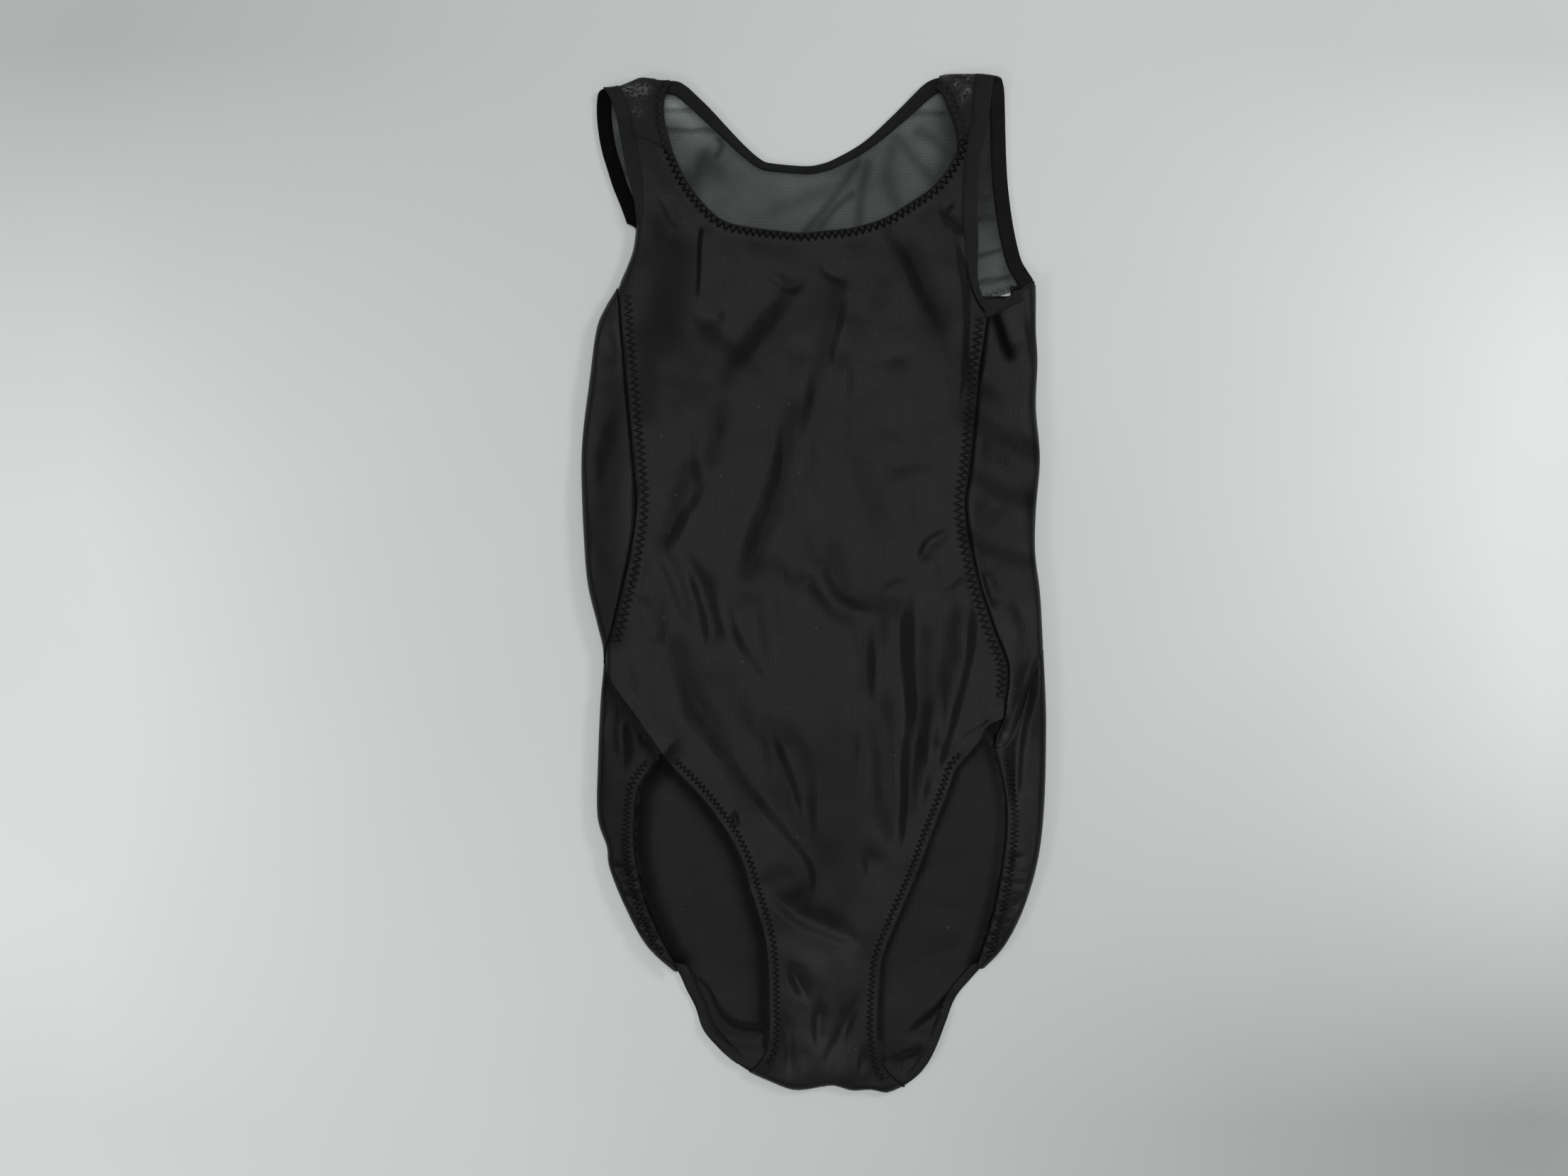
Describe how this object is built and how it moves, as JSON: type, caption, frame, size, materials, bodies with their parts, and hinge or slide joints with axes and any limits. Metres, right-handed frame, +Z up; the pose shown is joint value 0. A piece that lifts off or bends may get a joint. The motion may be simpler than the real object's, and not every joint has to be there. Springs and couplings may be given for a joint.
{
  "type": "gymnastics leotard",
  "caption": "Sleeveless princess-seamed leotard lying flat, with a net upper back, bound armholes and back neck, and elasticated leg openings.",
  "frame": {"origin": "on the plane the garment lies on, under the middle of its outline", "axes": "+Y from the crotch towards the shoulders, +X to the right as the garment is looked down on, +Z up out of the front"},
  "size_m": [0.292, 0.6402, 0.0095],
  "materials": {
    "knit": "satin",
    "back_knit": "satin",
    "net": "matte",
    "binding": "satin",
    "lining": "matte",
    "elastic": "matte",
    "thread": "satin"
  },
  "bodies": {
    "lower_body": {"front_centre_panel_lower": "knit", "side_panel_left_lower": "knit", "side_panel_right_lower": "knit", "back_panel_lower": "back_knit", "crotch_gusset_lining": "lining", "crotch_seam_stitch": "thread", "leg_elastic_left": "elastic", "leg_elastic_right": "elastic", "leg_hem_stitch_left": "thread", "leg_hem_stitch_right": "thread", "princess_topstitch_lower": "thread"},
    "upper_body": {"front_centre_panel_upper": "knit", "side_panel_left_upper": "knit", "side_panel_right_upper": "knit", "back_panel_upper": "back_knit", "princess_topstitch_upper": "thread", "back_net_yoke": "net", "yoke_seam_stitch": "thread", "neck_binding": "binding", "armhole_binding_left": "binding", "armhole_binding_right": "binding", "front_neck_elastic": "elastic", "front_neck_stitch": "thread", "binding_stitch": "thread"},
    "shoulders": {"back_net_shoulders": "net", "neck_binding_ends": "binding", "armhole_binding_left_top": "binding", "armhole_binding_right_top": "binding", "front_neck_elastic_ends": "elastic", "front_neck_stitch_ends": "thread", "strap_net_left": "net", "strap_net_right": "net", "binding_stitch_ends": "thread", "shoulder_seam_tape": "back_knit"}
  },
  "joints": [
    {"name": "waist_fold", "type": "hinge", "parent": "lower_body", "child": "upper_body", "pos_m": [0, 0.02, 0.0155], "axis": [1, 0, 0], "range_deg": [0, 176]},
    {"name": "shoulder_fold", "type": "hinge", "parent": "upper_body", "child": "shoulders", "pos_m": [0, 0.286, 0.0105], "axis": [1, 0, 0], "range_deg": [0, 175]}
  ]
}
